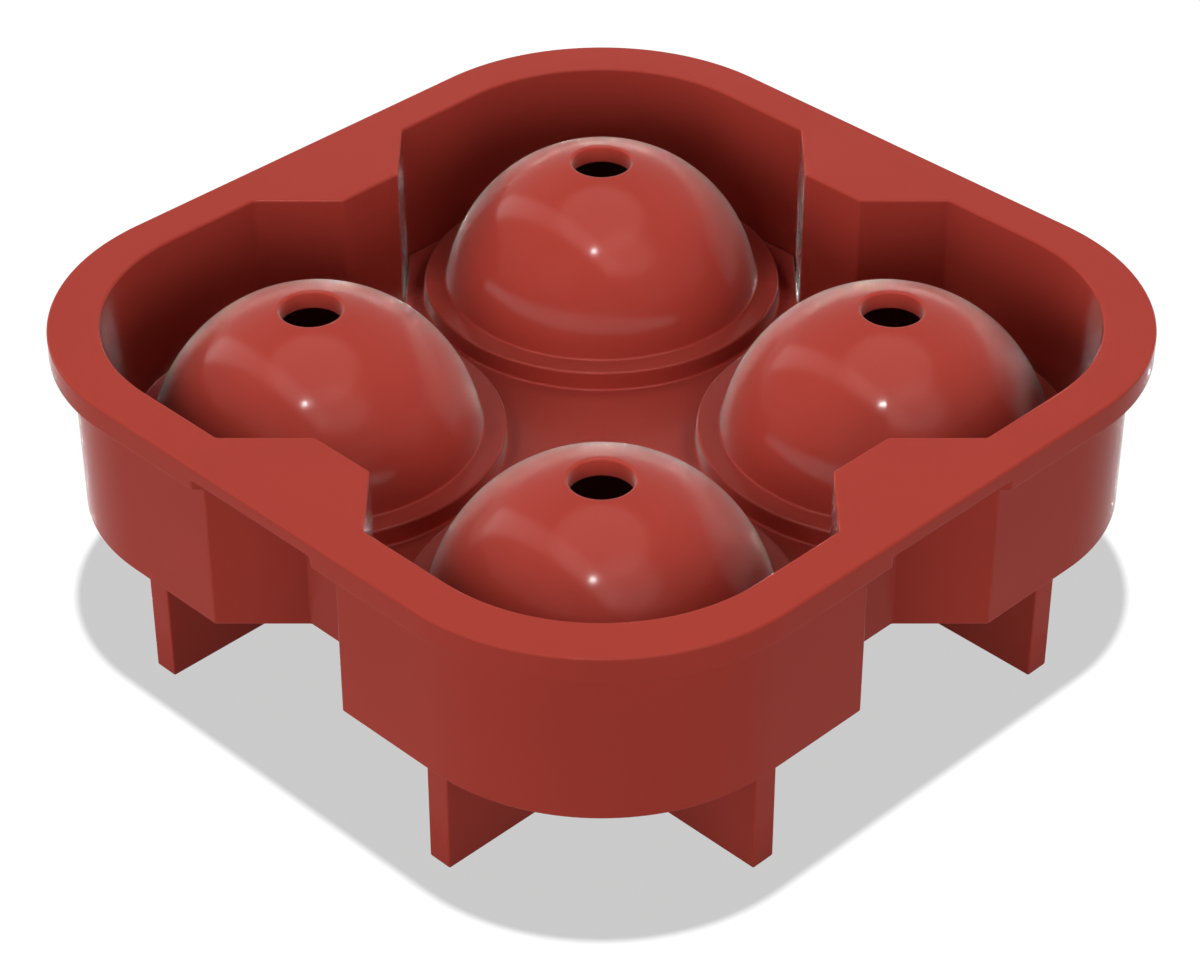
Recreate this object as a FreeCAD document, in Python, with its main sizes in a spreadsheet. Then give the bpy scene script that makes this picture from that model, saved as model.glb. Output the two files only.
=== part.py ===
import FreeCAD, Part
import Sketcher
import math
import os

# An ice ball mold in two moulded pieces, in millimetres. The lower tray stands on the ground
# (z = 0) on eight rib feet, and holds four half-ball bowls in a basin with a pinched wall and a
# broad rim. The dome lid lies in the basin, and closes each bowl with a domed half ball that has
# a fill hole at its crown. The Z axis is the middle of the mold, and its sides lie along X and Y.

# Driving dimensions
SIZES = [
    ("ball_diameter", 45.0, "clear diameter of each ice ball"),
    ("ball_spacing", 61.2, "from one ball's centre to the next along a side"),
    ("fill_hole_diameter", 9.5, "round hole at the crown of each dome"),
    ("bowl_wall", 2.7, "shell of the half-ball bowls"),
    ("dome_wall", 3.0, "shell of the domes"),
    ("ground_gap", 0.3, "from the ground up to the bowls, so that the feet carry the mold"),
    ("lip_height", 2.9, "how far each bowl's lip stands above the tray's floor"),
    ("lip_clearance", 0.3, "round each lip, inside the lid's collar"),
    ("floor_thickness", 3.2, "the tray's floor"),
    ("web_thickness", 3.4, "the lid's plate between its domes"),
    ("collar_width", 3.3, "ledge round the foot of each dome"),
    ("collar_height", 3.2, "how far the collars stand above the lid's plate"),
    ("basin_margin", 1.95, "from a collar to the basin's wall, along a side"),
    ("lid_clearance", 0.4, "round the lid's plate, inside the basin's wall"),
    ("basin_shift", 1.4, "from a ball's centre out to the basin's corner centre, in X and in Y"),
    ("wall_shift", 2.2, "the same for the rounded corners of the wall's outer face"),
    ("rim_shift", 2.7, "the same for the rounded corners of the rim"),
    ("wall_thickness", 4.15, "the basin's wall along its sides"),
    ("pinch_depth", 9.9, "how far the wall is pinched inwards in the middle of each side"),
    ("pinch_flat", 11.6, "length of the flat on the inner side of a pinch"),
    ("pinch_angle", 45.0, "turn from the wall to the flank of a pinch, in degrees"),
    ("dome_proud", 1.2, "how far the domes would stand above the rim without their holes"),
    ("rim_overhang", 3.15, "how far the rim stands out from the wall, along a side"),
    ("flange_thickness", 2.4, "the rim's square plate"),
    ("rim_depth", 4.1, "the rim where it follows the wall, the plate included"),
    ("foot_thickness", 4.1, "rib under the bowls, whose two ends are feet"),
    ("foot_inset", 2.5, "from the wall's outer face in to the end of a rib"),
    ("corner_round", 0.8, "small radius on the upright edges of a pinch"),
    ("edge_round", 0.4, "small radius on the rim, the collars and the fill holes"),
]

SHEET = "Sizes"
TOLERANCE = 1e-4
QUARTER_TURNS = 4

doc = FreeCAD.newDocument("IceBallMold")
sheet = doc.addObject("Spreadsheet::Sheet", SHEET)
for row, (alias, value, meaning) in enumerate(SIZES, start=1):
    sheet.set(f"A{row}", alias)
    sheet.set(f"B{row}", str(value))
    sheet.set(f"C{row}", meaning)
    sheet.setAlias(f"B{row}", alias)
doc.recompute()


class Length:
    """A length that holds its formula over the sheet, and what that comes to."""

    def __init__(self, formula, value):
        self.formula = formula
        self.value = value

    def __add__(self, other):
        return Length(f"({self.formula} + {other.formula})", self.value + other.value)

    def __sub__(self, other):
        return Length(f"({self.formula} - {other.formula})", self.value - other.value)

    def __neg__(self):
        return Length(f"(0 - {self.formula})", -self.value)

    def times(self, factor):
        """This length times a plain number."""
        return Length(f"({self.formula} * {factor!r})", self.value * factor)

    def times_tan(self, angle, share):
        """This length times the tangent of a share of the angle, which is in degrees."""
        slope = math.tan(math.radians(angle.value * share))
        return Length(f"({self.formula} * tan({angle.formula} * {share!r} * 1 deg))", self.value * slope)

    def over_tan(self, angle):
        """This length divided by the tangent of the angle, which is in degrees."""
        slope = math.tan(math.radians(angle.value))
        return Length(f"({self.formula} / tan({angle.formula} * 1 deg))", self.value / slope)


def size(alias):
    """The driving dimension of this name."""
    return Length(f"{SHEET}.{alias}", float(sheet.get(alias)))


# Lengths that follow from the driving dimensions
zero = Length("0", 0.0)
ball_radius = size("ball_diameter").times(0.5)
ball_place = size("ball_spacing").times(0.5)
bowl_radius = ball_radius + size("bowl_wall")
dome_radius = ball_radius + size("dome_wall")
collar_radius = dome_radius + size("collar_width")
socket_radius = bowl_radius + size("lip_clearance")
hole_radius = size("fill_hole_diameter").times(0.5)

# Heights above the ground
ball_level = size("ground_gap") + bowl_radius
floor_top = ball_level - size("lip_height")
floor_level = floor_top - size("floor_thickness")
web_top = floor_top + size("web_thickness")
collar_top = web_top + size("collar_height")
rim_top = ball_level + dome_radius - size("dome_proud")
flange_level = rim_top - size("flange_thickness")
band_level = rim_top - size("rim_depth")

# Outlines seen from above: half widths, and radii of the rounded corners
basin_half = ball_place + collar_radius + size("basin_margin")
basin_corner = basin_half - ball_place - size("basin_shift")
wall_half = basin_half + size("wall_thickness")
wall_corner = wall_half - ball_place - size("wall_shift")
rim_half = wall_half + size("rim_overhang")
rim_corner = rim_half - ball_place - size("rim_shift")
rim_reach = rim_half - basin_half
pinch_place = basin_half - size("pinch_depth")
foot_end = wall_half - size("foot_inset")


def origin_feature(body, role):
    """The plane or axis of the body's own origin that has this role."""
    return next(item for item in body.Origin.OriginFeatures if item.Role == role)


def new_body(label):
    """An empty body of this label, in its place."""
    body = doc.addObject("PartDesign::Body", label)
    body.Label = label
    body.Placement = FreeCAD.Placement()
    return body


def new_sketch(body, name, plane, offset):
    """A sketch on one of the body's own planes, moved by the three lengths in the plane's frame."""
    sketch = body.newObject("Sketcher::SketchObject", name)
    sketch.AttachmentSupport = [(origin_feature(body, plane), "")]
    sketch.MapMode = "FlatFace"
    sketch.AttachmentOffset = FreeCAD.Placement(
        FreeCAD.Vector(*[length.value for length in offset]), FreeCAD.Rotation()
    )
    for axis, length in zip("xyz", offset):
        sketch.setExpression(f"AttachmentOffset.Base.{axis}", length.formula)
    return sketch


def bind(sketch, kind, places, length):
    """A dimension in the sketch that follows the length's formula."""
    number = sketch.addConstraint(Sketcher.Constraint(kind, *places, length.value))
    sketch.setExpression(f"Constraints[{number}]", length.formula)


def place_start(sketch, edge, across, up):
    """Holds the start of an edge at these distances from the sketch's origin."""
    bind(sketch, "DistanceX", (-1, 1, edge, 1), across)
    bind(sketch, "DistanceY", (-1, 1, edge, 1), up)


def square_sketch(body, name, level, half, radius):
    """A square with rounded corners about the Z axis."""
    sketch = new_sketch(body, name, "XY_Plane", (zero, zero, level))
    reach = half.value
    turn = radius.value
    straight = reach - turn
    corners = [(straight, -straight), (straight, straight), (-straight, straight), (-straight, -straight)]
    ends = [(reach, -straight), (straight, reach), (-reach, straight), (-straight, -reach)]
    starts = [(straight, -reach), (reach, straight), (-straight, reach), (-reach, -straight)]
    for number in range(QUARTER_TURNS):
        line_start = FreeCAD.Vector(*ends[number - 1], 0)
        line_end = FreeCAD.Vector(*starts[number], 0)
        sketch.addGeometry(Part.LineSegment(line_start, line_end))
        circle = Part.Circle(FreeCAD.Vector(*corners[number], 0), FreeCAD.Vector(0, 0, 1), turn)
        first = math.radians(90 * number - 90)
        sketch.addGeometry(Part.ArcOfCircle(circle, first, first + math.radians(90)))
    edges = 2 * QUARTER_TURNS
    for edge in range(edges):
        sketch.addConstraint(Sketcher.Constraint("Tangent", edge, 2, (edge + 1) % edges, 1))
    for side, direction in enumerate(("Horizontal", "Vertical", "Horizontal", "Vertical")):
        sketch.addConstraint(Sketcher.Constraint(direction, 2 * side))
    bind(sketch, "Radius", (1,), radius)
    for arc in (3, 5, 7):
        sketch.addConstraint(Sketcher.Constraint("Equal", 1, arc))
    bind(sketch, "DistanceY", (0, 1, -1, 1), half)
    bind(sketch, "DistanceX", (-1, 1, 2, 1), half)
    bind(sketch, "DistanceY", (-1, 1, 4, 1), half)
    bind(sketch, "DistanceX", (6, 1, -1, 1), half)
    return sketch


def polygon_sketch(body, name, level, points):
    """A closed outline of straight edges, its points given as pairs of lengths."""
    sketch = new_sketch(body, name, "XY_Plane", (zero, zero, level))
    count = len(points)
    for number in range(count):
        (x0, y0), (x1, y1) = points[number], points[(number + 1) % count]
        start = FreeCAD.Vector(x0.value, y0.value, 0)
        end = FreeCAD.Vector(x1.value, y1.value, 0)
        sketch.addGeometry(Part.LineSegment(start, end))
    for number, (across, up) in enumerate(points):
        sketch.addConstraint(Sketcher.Constraint("Coincident", number, 2, (number + 1) % count, 1))
        place_start(sketch, number, across, up)
    return sketch


def pinch_sketch(body, name, level, outward, reach):
    """The trapezium of a pinch on the side towards +X. Its sloping flanks and its flat lie this far
    outward from the basin's wall, and it runs out to this reach."""
    angle = size("pinch_angle")
    near = pinch_place + outward
    near_half = size("pinch_flat").times(0.5) - outward.times_tan(angle, 0.5)
    far_half = near_half + (reach - near).over_tan(angle)
    points = [(near, -near_half), (reach, -far_half), (reach, far_half), (near, near_half)]
    return polygon_sketch(body, name, level, points)


def add_pad(body, name, sketch, height):
    """Material from the sketch upwards."""
    pad = body.newObject("PartDesign::Pad", name)
    pad.Profile = sketch
    pad.Length = height.value
    pad.setExpression("Length", height.formula)
    return pad


def add_pocket(body, name, sketch, depth):
    """A cut from the sketch downwards."""
    pocket = body.newObject("PartDesign::Pocket", name)
    pocket.Profile = sketch
    pocket.Length = depth.value
    pocket.setExpression("Length", depth.formula)
    return pocket


def four_times(body, name, *features):
    """The same features on all four sides or corners, turned about the Z axis."""
    pattern = body.newObject("PartDesign::PolarPattern", name)
    pattern.Originals = list(features)
    pattern.Axis = (origin_feature(body, "Z_Axis"), [""])
    pattern.Angle = 360
    pattern.Occurrences = QUARTER_TURNS
    body.Tip = pattern
    return pattern


def ball_sketch(body, name):
    """A sketch in the upright plane through a ball's centre, with its V axis on that ball's axis."""
    return new_sketch(body, name, "XZ_Plane", (ball_place, zero, -ball_place))


def revolve(body, name, kind, sketch):
    """The sketch turned full circle about its V axis, as material or as a cut."""
    feature = body.newObject(f"PartDesign::{kind}", name)
    feature.Profile = sketch
    feature.ReferenceAxis = (sketch, ["V_Axis"])
    feature.Angle = 360
    return feature


def round_edges(body, name, radius, chosen):
    """A small radius on the edges of the body that the test picks."""
    doc.recompute()
    tip = body.Tip
    picked = [f"Edge{number}" for number, edge in enumerate(tip.Shape.Edges, start=1) if chosen(edge)]
    if not picked:
        raise RuntimeError(f"{name} finds no edge to round")
    fillet = body.newObject("PartDesign::Fillet", name)
    fillet.Base = (tip, picked)
    fillet.Radius = radius.value
    fillet.setExpression("Radius", radius.formula)
    return fillet


def half_ball_sketch(body, name, radius, upper):
    """A quarter disc beside the V axis, above or below the parting level."""
    sketch = ball_sketch(body, name)
    centre = FreeCAD.Vector(0, ball_level.value, 0)
    out = FreeCAD.Vector(radius.value, ball_level.value, 0)
    sign = 1 if upper else -1
    pole = FreeCAD.Vector(0, ball_level.value + sign * radius.value, 0)
    circle = Part.Circle(centre, FreeCAD.Vector(0, 0, 1), radius.value)
    first = 0.0 if upper else -math.pi / 2
    sketch.addGeometry(Part.ArcOfCircle(circle, first, first + math.pi / 2))
    out_end, pole_end = (1, 2) if upper else (2, 1)
    sketch.addGeometry(Part.LineSegment(pole, centre))
    sketch.addGeometry(Part.LineSegment(centre, out))
    sketch.addConstraint(Sketcher.Constraint("Coincident", 0, pole_end, 1, 1))
    sketch.addConstraint(Sketcher.Constraint("Coincident", 1, 2, 2, 1))
    sketch.addConstraint(Sketcher.Constraint("Coincident", 2, 2, 0, out_end))
    sketch.addConstraint(Sketcher.Constraint("Coincident", 0, 3, 1, 2))
    sketch.addConstraint(Sketcher.Constraint("PointOnObject", 0, 3, -2))
    sketch.addConstraint(Sketcher.Constraint("PointOnObject", 0, pole_end, -2))
    sketch.addConstraint(Sketcher.Constraint("Horizontal", 2))
    bind(sketch, "DistanceY", (-1, 1, 0, 3), ball_level)
    bind(sketch, "Radius", (0,), radius)
    return sketch


def disc_sketch(body, name, level, radius):
    """A circle about a ball's axis."""
    sketch = new_sketch(body, name, "XY_Plane", (ball_place, ball_place, level))
    sketch.addGeometry(Part.Circle(FreeCAD.Vector(0, 0, 0), FreeCAD.Vector(0, 0, 1), radius.value))
    sketch.addConstraint(Sketcher.Constraint("Coincident", 0, 3, -1, 1))
    bind(sketch, "Radius", (0,), radius)
    return sketch


def at_level(edge, level):
    """Whether the whole edge lies at this height."""
    box = edge.BoundBox
    return abs(box.ZMin - level.value) < TOLERANCE and abs(box.ZMax - level.value) < TOLERANCE


def off_ball(point):
    """How far a point lies from the nearest ball's axis, seen from above."""
    return math.hypot(abs(point.x) - ball_place.value, abs(point.y) - ball_place.value)


def upright_in_pinch(edge):
    """Whether an edge is an upright corner of a pinch, on the basin's side."""
    box = edge.BoundBox
    upright = box.XLength < TOLERANCE and box.YLength < TOLERANCE
    to_the_top = abs(box.ZMax - rim_top.value) < TOLERANCE
    near, far = sorted((abs(box.Center.x), abs(box.Center.y)))
    in_pinch = near < ball_place.value and far < basin_half.value + TOLERANCE
    return upright and to_the_top and in_pinch


def make_tray():
    """The lower tray: rim, pinched wall, floor, four bowls with their lips, and the rib feet."""
    body = new_body("lower_tray")

    # The rim and the wall start as two blocks, and the basin is sunk into them
    rim = square_sketch(body, "RimOutline", band_level, rim_half, rim_corner)
    add_pad(body, "Rim", rim, size("rim_depth"))
    wall = square_sketch(body, "WallOutline", floor_level, wall_half, wall_corner)
    add_pad(body, "Wall", wall, band_level - floor_level)
    basin = square_sketch(body, "BasinOutline", rim_top, basin_half, basin_corner)
    add_pocket(body, "Basin", basin, rim_top - floor_top)

    # In the middle of each side the wall is pinched inwards, inside and outside alike. Below the
    # square plate the rim follows it.
    inside = pinch_sketch(body, "PinchOutline", floor_top, zero, basin_half + size("wall_thickness").times(0.5))
    four_times(body, "Pinches", add_pad(body, "Pinch", inside, rim_top - floor_top))
    beyond = rim_half + size("rim_overhang")
    wall_notch = pinch_sketch(body, "WallNotchOutline", band_level, size("wall_thickness"), beyond)
    wall_cut = add_pocket(body, "WallNotch", wall_notch, band_level - floor_level)
    four_times(body, "WallNotches", wall_cut)
    band_notch = pinch_sketch(body, "BandNotchOutline", flange_level, rim_reach, beyond)
    band_cut = add_pocket(body, "BandNotch", band_notch, flange_level - band_level)
    four_times(body, "BandNotches", band_cut)

    # Half-ball bowls hang under the floor, and their lips stand above it
    bowl = half_ball_sketch(body, "BowlOutline", bowl_radius, upper=False)
    four_times(body, "Bowls", revolve(body, "Bowl", "Revolution", bowl))

    # Four ribs cross under the bowls, and each end of a rib is a foot
    half_thickness = size("foot_thickness").times(0.5)
    near = ball_place - half_thickness
    far = ball_place + half_thickness
    rib_points = [(near, -foot_end), (far, -foot_end), (far, foot_end), (near, foot_end)]
    rib = polygon_sketch(body, "RibOutline", zero, rib_points)
    four_times(body, "Ribs", add_pad(body, "Rib", rib, floor_level))

    # The lower half of each ball
    hollow = half_ball_sketch(body, "HollowOutline", ball_radius, upper=False)
    four_times(body, "Hollows", revolve(body, "Hollow", "Groove", hollow))

    # Small radii: upright edges in the basin first, then round the top of the rim
    round_edges(body, "PinchCorners", size("corner_round"), upright_in_pinch)
    round_edges(body, "RimEdges", size("edge_round"), lambda edge: at_level(edge, rim_top))
    return body


def lid_profile(body, name):
    """Half of a dome's section: the collar, its ledge, and the dome above it."""
    sketch = ball_sketch(body, name)
    crown = ball_level.value + dome_radius.value
    rise = collar_top.value - ball_level.value
    ledge = math.sqrt(dome_radius.value ** 2 - rise ** 2)
    seat_mid = FreeCAD.Vector(0, floor_top.value, 0)
    seat_out = FreeCAD.Vector(collar_radius.value, floor_top.value, 0)
    ledge_out = FreeCAD.Vector(collar_radius.value, collar_top.value, 0)
    ledge_in = FreeCAD.Vector(ledge, collar_top.value, 0)
    top = FreeCAD.Vector(0, crown, 0)
    sketch.addGeometry(Part.LineSegment(seat_mid, seat_out))
    sketch.addGeometry(Part.LineSegment(seat_out, ledge_out))
    sketch.addGeometry(Part.LineSegment(ledge_out, ledge_in))
    centre = FreeCAD.Vector(0, ball_level.value, 0)
    circle = Part.Circle(centre, FreeCAD.Vector(0, 0, 1), dome_radius.value)
    sketch.addGeometry(Part.ArcOfCircle(circle, math.asin(rise / dome_radius.value), math.pi / 2))
    sketch.addGeometry(Part.LineSegment(top, seat_mid))
    for edge in range(5):
        start_of_next = (edge + 1) % 5
        sketch.addConstraint(Sketcher.Constraint("Coincident", edge, 2, start_of_next, 1))
    sketch.addConstraint(Sketcher.Constraint("PointOnObject", 0, 1, -2))
    bind(sketch, "DistanceY", (-1, 1, 0, 1), floor_top)
    place_start(sketch, 1, collar_radius, floor_top)
    place_start(sketch, 2, collar_radius, collar_top)
    bind(sketch, "DistanceY", (-1, 1, 3, 1), collar_top)
    sketch.addConstraint(Sketcher.Constraint("PointOnObject", 3, 3, -2))
    sketch.addConstraint(Sketcher.Constraint("PointOnObject", 3, 2, -2))
    bind(sketch, "DistanceY", (-1, 1, 3, 3), ball_level)
    bind(sketch, "Radius", (3,), dome_radius)
    return sketch


def round_on_lid(edge):
    """Whether an edge is the top of a collar or the upper edge of a fill hole."""
    box = edge.BoundBox
    if box.ZLength > TOLERANCE:
        return False
    radius = off_ball(edge.Vertexes[0].Point)
    on_collar = at_level(edge, collar_top) and abs(radius - collar_radius.value) < TOLERANCE
    crown = ball_level.value + math.sqrt(dome_radius.value ** 2 - hole_radius.value ** 2)
    on_hole = abs(box.ZMin - crown) < TOLERANCE and abs(radius - hole_radius.value) < TOLERANCE
    return on_collar or on_hole


def make_lid():
    """The dome lid: its plate, four collars that fit over the bowls' lips, and four domes."""
    body = new_body("dome_lid")

    # The plate follows the basin's wall with an even gap
    gap = size("lid_clearance")
    plate = square_sketch(body, "PlateOutline", floor_top, basin_half - gap, basin_corner - gap)
    add_pad(body, "Plate", plate, size("web_thickness"))
    notch = pinch_sketch(body, "PlateNotchOutline", web_top, -gap, wall_half)
    four_times(body, "PlateNotches", add_pocket(body, "PlateNotch", notch, size("web_thickness")))

    # A dome and its collar over each bowl
    profile = lid_profile(body, "DomeOutline")
    four_times(body, "Domes", revolve(body, "Dome", "Revolution", profile))

    # Under each dome: the socket over the bowl's lip, the upper half of the ball, the fill hole
    socket = disc_sketch(body, "SocketOutline", ball_level, socket_radius)
    four_times(body, "Sockets", add_pocket(body, "Socket", socket, ball_level - floor_top))
    hollow = half_ball_sketch(body, "HollowOutline", ball_radius, upper=True)
    four_times(body, "Hollows", revolve(body, "Hollow", "Groove", hollow))
    hole = disc_sketch(body, "HoleOutline", ball_level + dome_radius, hole_radius)
    four_times(body, "FillHoles", add_pocket(body, "FillHole", hole, dome_radius))

    round_edges(body, "LidEdges", size("edge_round"), round_on_lid)
    return body


def check_and_write(bodies):
    """Stops at any failed object or bad shape, and then writes one file a piece."""
    doc.recompute()
    for item in doc.Objects:
        wrong = [word for word in item.State if word in ("Invalid", "Error")]
        if wrong:
            raise RuntimeError(f"{item.Name} is {wrong}")
    os.makedirs("parts", exist_ok=True)
    for body in bodies:
        shape = body.Shape
        if shape.isNull() or not shape.isValid() or len(shape.Solids) != 1:
            raise RuntimeError(f"{body.Label} isn't one sound solid")
        shape.exportStep(f"parts/{body.Label}.step")
        box = shape.BoundBox
        print(
            f"{body.Label}: volume {shape.Volume:.1f}, "
            f"{box.XLength:.2f} x {box.YLength:.2f} x {box.ZLength:.2f}, z {box.ZMin:.2f} to {box.ZMax:.2f}"
        )


check_and_write([make_tray(), make_lid()])
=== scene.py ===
# %% [markdown]
# An ice ball mold for four balls, moulded in two pieces of red plastic. The lower tray has a broad
# rim, a wall that is pinched in the middle of each side, four half-ball bowls and the ribs that it
# stands on. The dome lid lies in it, with a collar, a dome and a fill hole over each bowl. The
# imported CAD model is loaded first, because every size and place below follows it.

# %% Load the frame
import math
import bpy
import numpy as np
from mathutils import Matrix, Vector


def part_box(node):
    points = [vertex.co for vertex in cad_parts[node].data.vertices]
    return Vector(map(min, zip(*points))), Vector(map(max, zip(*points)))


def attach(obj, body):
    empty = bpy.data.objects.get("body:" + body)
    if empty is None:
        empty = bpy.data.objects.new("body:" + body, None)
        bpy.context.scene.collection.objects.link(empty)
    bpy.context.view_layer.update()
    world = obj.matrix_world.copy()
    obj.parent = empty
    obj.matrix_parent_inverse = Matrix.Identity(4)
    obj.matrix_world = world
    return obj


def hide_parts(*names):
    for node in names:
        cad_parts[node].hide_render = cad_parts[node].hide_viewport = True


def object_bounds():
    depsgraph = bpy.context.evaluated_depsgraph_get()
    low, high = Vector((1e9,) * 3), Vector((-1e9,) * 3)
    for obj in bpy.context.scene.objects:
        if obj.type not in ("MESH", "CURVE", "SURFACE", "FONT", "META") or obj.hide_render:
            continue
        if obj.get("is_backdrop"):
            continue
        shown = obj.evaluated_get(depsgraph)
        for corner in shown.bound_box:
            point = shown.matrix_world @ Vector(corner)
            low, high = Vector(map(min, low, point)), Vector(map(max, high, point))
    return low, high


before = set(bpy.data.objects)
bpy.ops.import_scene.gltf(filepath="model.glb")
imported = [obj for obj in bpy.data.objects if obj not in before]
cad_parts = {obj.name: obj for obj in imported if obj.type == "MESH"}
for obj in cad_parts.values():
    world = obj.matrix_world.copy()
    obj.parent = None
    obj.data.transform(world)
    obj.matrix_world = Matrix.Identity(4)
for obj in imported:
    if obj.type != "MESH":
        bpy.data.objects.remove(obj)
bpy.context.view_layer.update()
tray_low, tray_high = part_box("lower_tray")
lid_low, lid_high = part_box("dome_lid")
scene = bpy.context.scene
MM = 0.001

# %% [markdown]
# The levels of a mold follow from the ball: the two halves part at its middle, and the walls of the
# bowls and domes follow it at an even thickness. So the ball comes first, and then the heights above
# the ground. What can be read from the frame is read from it, and the rest is named here once.

# %% Sizes and levels
BALL_RADIUS = 22.5 * MM
BALL_PLACE = 30.6 * MM
BOWL_RADIUS = 25.2 * MM
DOME_RADIUS = 25.5 * MM
COLLAR_RADIUS = 28.8 * MM
HOLE_RADIUS = 4.75 * MM
BALL_LEVEL = 25.5 * MM
FLOOR_THICKNESS = 3.2 * MM
WEB_THICKNESS = 3.4 * MM
COLLAR_HEIGHT = 3.2 * MM
FLANGE_THICKNESS = 2.4 * MM
RIM_DEPTH = 4.1 * MM

floor_top = lid_low.z
floor_level = floor_top - FLOOR_THICKNESS
web_top = floor_top + WEB_THICKNESS
collar_top = web_top + COLLAR_HEIGHT
rim_top = tray_high.z
flange_level = rim_top - FLANGE_THICKNESS
band_level = rim_top - RIM_DEPTH
levels = (floor_level, floor_top, web_top, collar_top)
print("levels, in millimetres:", [round(z / MM, 2) for z in levels])
print("rim, in millimetres:", [round(z / MM, 2) for z in (band_level, flange_level, rim_top)])

# %% [markdown]
# Seen from above, the wall is a square with big round corners, and in the middle of each side it
# steps inwards by a sloping flank, a flat and another flank. Four such outlines occur: the basin,
# the wall's outer face, the rim and the lid's plate. They share one recipe with their own sizes. A
# moulded edge is never sharp, so each corner of the outline gives way to a small arc. The arcs keep
# their number of points, and because of that any two outlines can be joined point by point.

# %% Outlines seen from above
QUARTERS = 4
SMALL_STEPS = 4
LARGE_STEPS = 40
FLAT_STEPS = 2
FLANK_STEPS = 8
SIDE_STEPS = 12
FLANK = math.radians(45)


def corner_arc(before, corner, after, radius, steps):
    """The arc that rounds a corner between two straight runs.

    It starts and ends at radius * tan(turn / 2) from the corner. A point at angle a along it is
    centre + radius * (run * sin(a) - inward * cos(a)), where inward points from the run's line to
    the arc's centre.
    """
    run = (corner - before) / np.linalg.norm(corner - before)
    leave = (after - corner) / np.linalg.norm(after - corner)
    turn = math.atan2(run[0] * leave[1] - run[1] * leave[0], run @ leave)
    inward = math.copysign(1.0, turn) * np.array([-run[1], run[0]])
    centre = corner - run * radius * math.tan(abs(turn) / 2) + inward * radius
    angle = np.linspace(0.0, abs(turn), steps + 1)[:, None]
    return centre + radius * (run * np.sin(angle) - inward * np.cos(angle))


def quarter_outline(shape, grow=0.0, pinched=True):
    """A quarter of an outline, from the middle of the flat towards +X to the next one's.

    shape gives half the width, the big corner's radius, the flat's place and half length, and the
    small radius. grow moves every run outwards, so an outward turn's radius grows and an inward
    turn's shrinks. Without the pinch, its points are pushed out to the side's own line.
    """
    half, big, near, near_half, small = shape
    half, near = half + grow, near + grow
    near_half = near_half - grow * math.tan(FLANK / 2)
    far_half = near_half + (half - near) / math.tan(FLANK)
    path = np.array([(near, 0), (near, near_half), (half, far_half), (half, half),
                     (far_half, half), (near_half, near), (0, near)])
    radii = [small - grow, small + grow, big + grow, small + grow, small - grow]
    steps = [SMALL_STEPS, SMALL_STEPS, LARGE_STEPS, SMALL_STEPS, SMALL_STEPS]
    arcs = [corner_arc(*path[k:k + 3], radii[k], steps[k]) for k in range(len(radii))]
    stops = [path[:1], *arcs, path[-1:]]
    run_steps = [FLAT_STEPS, FLANK_STEPS, SIDE_STEPS, SIDE_STEPS, FLANK_STEPS, FLAT_STEPS]
    runs = [np.linspace(before[-1], after[0], count + 1)
            for before, after, count in zip(stops, stops[1:], run_steps)]
    parts = [runs[0][:-1]]
    for arc_points, run in zip(arcs, runs[1:]):
        parts += [arc_points, run[1:-1]]
    points = np.concatenate(parts)
    if not pinched:
        side = FLAT_STEPS + FLANK_STEPS + 2 * SMALL_STEPS + 1
        points[:side, 0] = half
        points[1 - side:, 1] = half
    return points


def quarter_turn(points, number):
    """The points turned about the Z axis by this number of quarter turns."""
    angle = math.radians(90 * number)
    turned = points.copy()
    turned[..., 0] = math.cos(angle) * points[..., 0] - math.sin(angle) * points[..., 1]
    turned[..., 1] = math.sin(angle) * points[..., 0] + math.cos(angle) * points[..., 1]
    return turned


def at_height(points, z):
    """Plan points with a height, which is one number or one for each point."""
    return np.concatenate([points, np.broadcast_to(z, points.shape[:-1])[..., None]], axis=-1)


def ring(shape, z, grow=0.0, pinched=True):
    """The whole outline at a height."""
    quarter = at_height(quarter_outline(shape, grow, pinched), z)
    return np.concatenate([quarter_turn(quarter, number) for number in range(QUARTERS)])


CORNER_ROUND = 0.8 * MM
OUTER_ROUND = 0.6 * MM
PLATE_GAP = 0.4 * MM
WALL_THICKNESS = 4.15 * MM
BASIN_CORNER = 29.35 * MM
WALL_CORNER = 32.7 * MM
RIM_CORNER = 35.35 * MM
PINCH_PLACE = 51.45 * MM
PINCH_HALF = 5.8 * MM
basin_half = lid_high.x + PLATE_GAP
rim_out = tray_high.x - basin_half


def pinch_behind(out):
    """The place of the flat this far outside the basin's, and half its length there.

    The length shrinks by out * tan(FLANK / 2) at each end, as the flank beside it moves out too.
    """
    return PINCH_PLACE + out, PINCH_HALF - out * math.tan(FLANK / 2)


basin = (basin_half, BASIN_CORNER, *pinch_behind(0.0), CORNER_ROUND)
wall = (basin_half + WALL_THICKNESS, WALL_CORNER, *pinch_behind(WALL_THICKNESS), OUTER_ROUND)
rim = (tray_high.x, RIM_CORNER, *pinch_behind(rim_out), OUTER_ROUND)
plate = (lid_high.x, BASIN_CORNER - PLATE_GAP, *pinch_behind(-PLATE_GAP), CORNER_ROUND)
print("points in an outline:", len(ring(basin, 0.0)))

# %% [markdown]
# A moulding is one closed skin. Here the skin is made of patches, each a grid of points worked out
# as one array: rows run across the section and columns run round. Neighbouring patches repeat the
# points of their shared border, and welding joins them. The rows always run the same way, from
# inside a ball over the top and back underneath, so all faces point outwards. Edges with a real
# radius stay smooth, and creases sharper than 35 degrees are marked, so that light breaks there.

# %% Grids to meshes
WELD = 1e-7
CREASE = math.radians(35)
CUBIC_CENTIMETRE = 1e-6


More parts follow.
